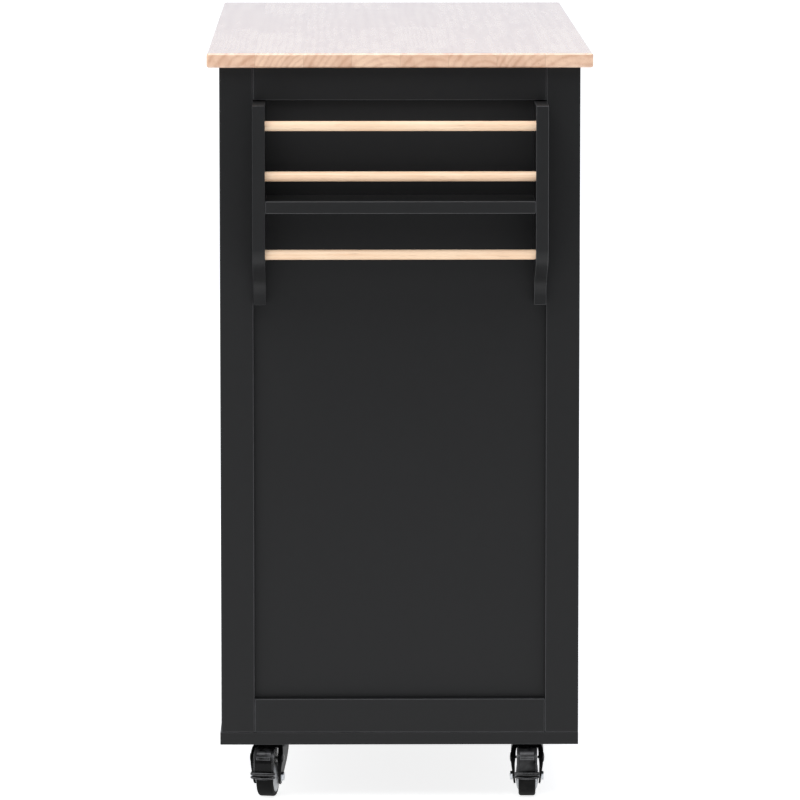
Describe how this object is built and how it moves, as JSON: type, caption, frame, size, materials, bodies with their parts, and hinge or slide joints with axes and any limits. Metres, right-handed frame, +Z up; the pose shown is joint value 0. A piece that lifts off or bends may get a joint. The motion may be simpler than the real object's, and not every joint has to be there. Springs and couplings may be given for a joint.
{
  "type": "kitchen island cart",
  "caption": "Rolling kitchen island cart: framed black cabinet with drawers over doors, solid wood worktop, and a spice rack with a towel bar on one end.",
  "frame": {"origin": "on the floor, under the middle of the cart's overall box", "axes": "+X along the cart towards the end with the rack, +Y towards the back panel (doors and drawers face -Y), +Z up"},
  "size_m": [1.165, 0.47, 0.925],
  "materials": {
    "black_paint": "satin black paint on board",
    "worktop_wood": "satin clear lacquer on edge-glued rubberwood",
    "dowel_wood": "satin clear lacquer on turned pine",
    "drawer_board": "matt dark foil on board",
    "nickel": "satin nickel plate",
    "zinc": "bright zinc plate",
    "black_steel": "glossy black powder coat",
    "black_plastic": "moulded, semi-gloss",
    "grey_plastic": "moulded, satin",
    "black_rubber": "moulded, matt"
  },
  "bodies": {
    "cabinet": {"worktop": "worktop_wood", "rack_end_front_stile": "black_paint", "rack_end_rear_stile": "black_paint", "rack_end_top_rail": "black_paint", "rack_end_bottom_rail": "black_paint", "rack_end_panel": "black_paint", "plain_end_front_stile": "black_paint", "plain_end_rear_stile": "black_paint", "plain_end_top_rail": "black_paint", "plain_end_bottom_rail": "black_paint", "plain_end_panel": "black_paint", "base_board": "black_paint", "front_stretcher": "black_paint", "rear_stretcher": "black_paint", "middle_rail": "black_paint", "centre_partition": "black_paint", "back_panel": "black_paint", "shelf_left": "black_paint", "shelf_right": "black_paint", "left_door_upper_hinge": "nickel", "left_door_lower_hinge": "nickel", "right_door_upper_hinge": "nickel", "right_door_lower_hinge": "nickel", "left_drawer_left_runner": "zinc", "left_drawer_right_runner": "zinc", "right_drawer_left_runner": "zinc", "right_drawer_right_runner": "zinc", "rack_front_bracket": "black_paint", "rack_rear_bracket": "black_paint", "rack_shelf": "black_paint", "rack_upper_rail": "dowel_wood", "rack_lower_rail": "dowel_wood", "rack_towel_bar": "dowel_wood"},
    "left_drawer": {"left_drawer_front": "black_paint", "left_drawer_box": "drawer_board", "left_drawer_bottom": "drawer_board"},
    "right_drawer": {"right_drawer_front": "black_paint", "right_drawer_box": "drawer_board", "right_drawer_bottom": "drawer_board"},
    "left_door": {"left_door": "black_paint", "left_door_upper_hinge_leaf": "nickel", "left_door_lower_hinge_leaf": "nickel"},
    "right_door": {"right_door": "black_paint", "right_door_upper_hinge_leaf": "nickel", "right_door_lower_hinge_leaf": "nickel"},
    "rack_front_fork": {"rack_front_caster_fork": "black_steel"},
    "rack_front_wheel": {"rack_front_caster_wheel": "grey_plastic", "rack_front_caster_tyre": "black_rubber"},
    "rack_front_pedal": {"rack_front_caster_brake_pedal": "black_plastic"},
    "rack_rear_fork": {"rack_rear_caster_fork": "black_steel"},
    "rack_rear_wheel": {"rack_rear_caster_wheel": "grey_plastic", "rack_rear_caster_tyre": "black_rubber"},
    "rack_rear_pedal": {"rack_rear_caster_brake_pedal": "black_plastic"},
    "plain_front_fork": {"plain_front_caster_fork": "black_steel"},
    "plain_front_wheel": {"plain_front_caster_wheel": "grey_plastic", "plain_front_caster_tyre": "black_rubber"},
    "plain_rear_fork": {"plain_rear_caster_fork": "black_steel"},
    "plain_rear_wheel": {"plain_rear_caster_wheel": "grey_plastic", "plain_rear_caster_tyre": "black_rubber"}
  },
  "joints": [
    {"name": "left_drawer_slide", "type": "slide", "parent": "cabinet", "child": "left_drawer", "axis": [0, -1, 0], "range_m": [0, 0.28]},
    {"name": "right_drawer_slide", "type": "slide", "parent": "cabinet", "child": "right_drawer", "axis": [0, -1, 0], "range_m": [0, 0.28]},
    {"name": "left_door_hinge", "type": "hinge", "parent": "cabinet", "child": "left_door", "pos_m": [-0.533, -0.2145, 0.417], "axis": [0, 0, -1], "range_deg": [0, 110]},
    {"name": "right_door_hinge", "type": "hinge", "parent": "cabinet", "child": "right_door", "pos_m": [0.468, -0.2145, 0.417], "axis": [0, 0, 1], "range_deg": [0, 110]},
    {"name": "rack_front_swivel", "type": "hinge", "parent": "cabinet", "child": "rack_front_fork", "pos_m": [0.4425, -0.159, 0.071], "axis": [0, 0, 1], "continuous": true},
    {"name": "rack_front_axle", "type": "hinge", "parent": "rack_front_fork", "child": "rack_front_wheel", "pos_m": [0.4641, -0.1632, 0.025], "axis": [0.1908, 0.9816, 0], "continuous": true},
    {"name": "rack_front_brake", "type": "hinge", "parent": "rack_front_fork", "child": "rack_front_pedal", "pos_m": [0.469, -0.16415, 0.049], "axis": [-0.1908, -0.9816, 0], "range_deg": [0, 10]},
    {"name": "rack_rear_swivel", "type": "hinge", "parent": "cabinet", "child": "rack_rear_fork", "pos_m": [0.4425, 0.159, 0.071], "axis": [0, 0, 1], "continuous": true},
    {"name": "rack_rear_axle", "type": "hinge", "parent": "rack_rear_fork", "child": "rack_rear_wheel", "pos_m": [0.46449, 0.15823, 0.025], "axis": [0.0349, 0.9994, 0], "continuous": true},
    {"name": "rack_rear_brake", "type": "hinge", "parent": "rack_rear_fork", "child": "rack_rear_pedal", "pos_m": [0.46948, 0.15806, 0.049], "axis": [-0.0349, -0.9994, 0], "range_deg": [0, 10]},
    {"name": "plain_front_swivel", "type": "hinge", "parent": "cabinet", "child": "plain_front_fork", "pos_m": [-0.5075, -0.159, 0.071], "axis": [0, 0, 1], "continuous": true},
    {"name": "plain_front_axle", "type": "hinge", "parent": "plain_front_fork", "child": "plain_front_wheel", "pos_m": [-0.48615, -0.15368, 0.025], "axis": [-0.2419, 0.9703, 0], "continuous": true},
    {"name": "plain_rear_swivel", "type": "hinge", "parent": "cabinet", "child": "plain_rear_fork", "pos_m": [-0.5075, 0.159, 0.071], "axis": [0, 0, 1], "continuous": true},
    {"name": "plain_rear_axle", "type": "hinge", "parent": "plain_rear_fork", "child": "plain_rear_wheel", "pos_m": [-0.48562, 0.1567, 0.025], "axis": [0.1045, 0.9945, 0], "continuous": true}
  ]
}
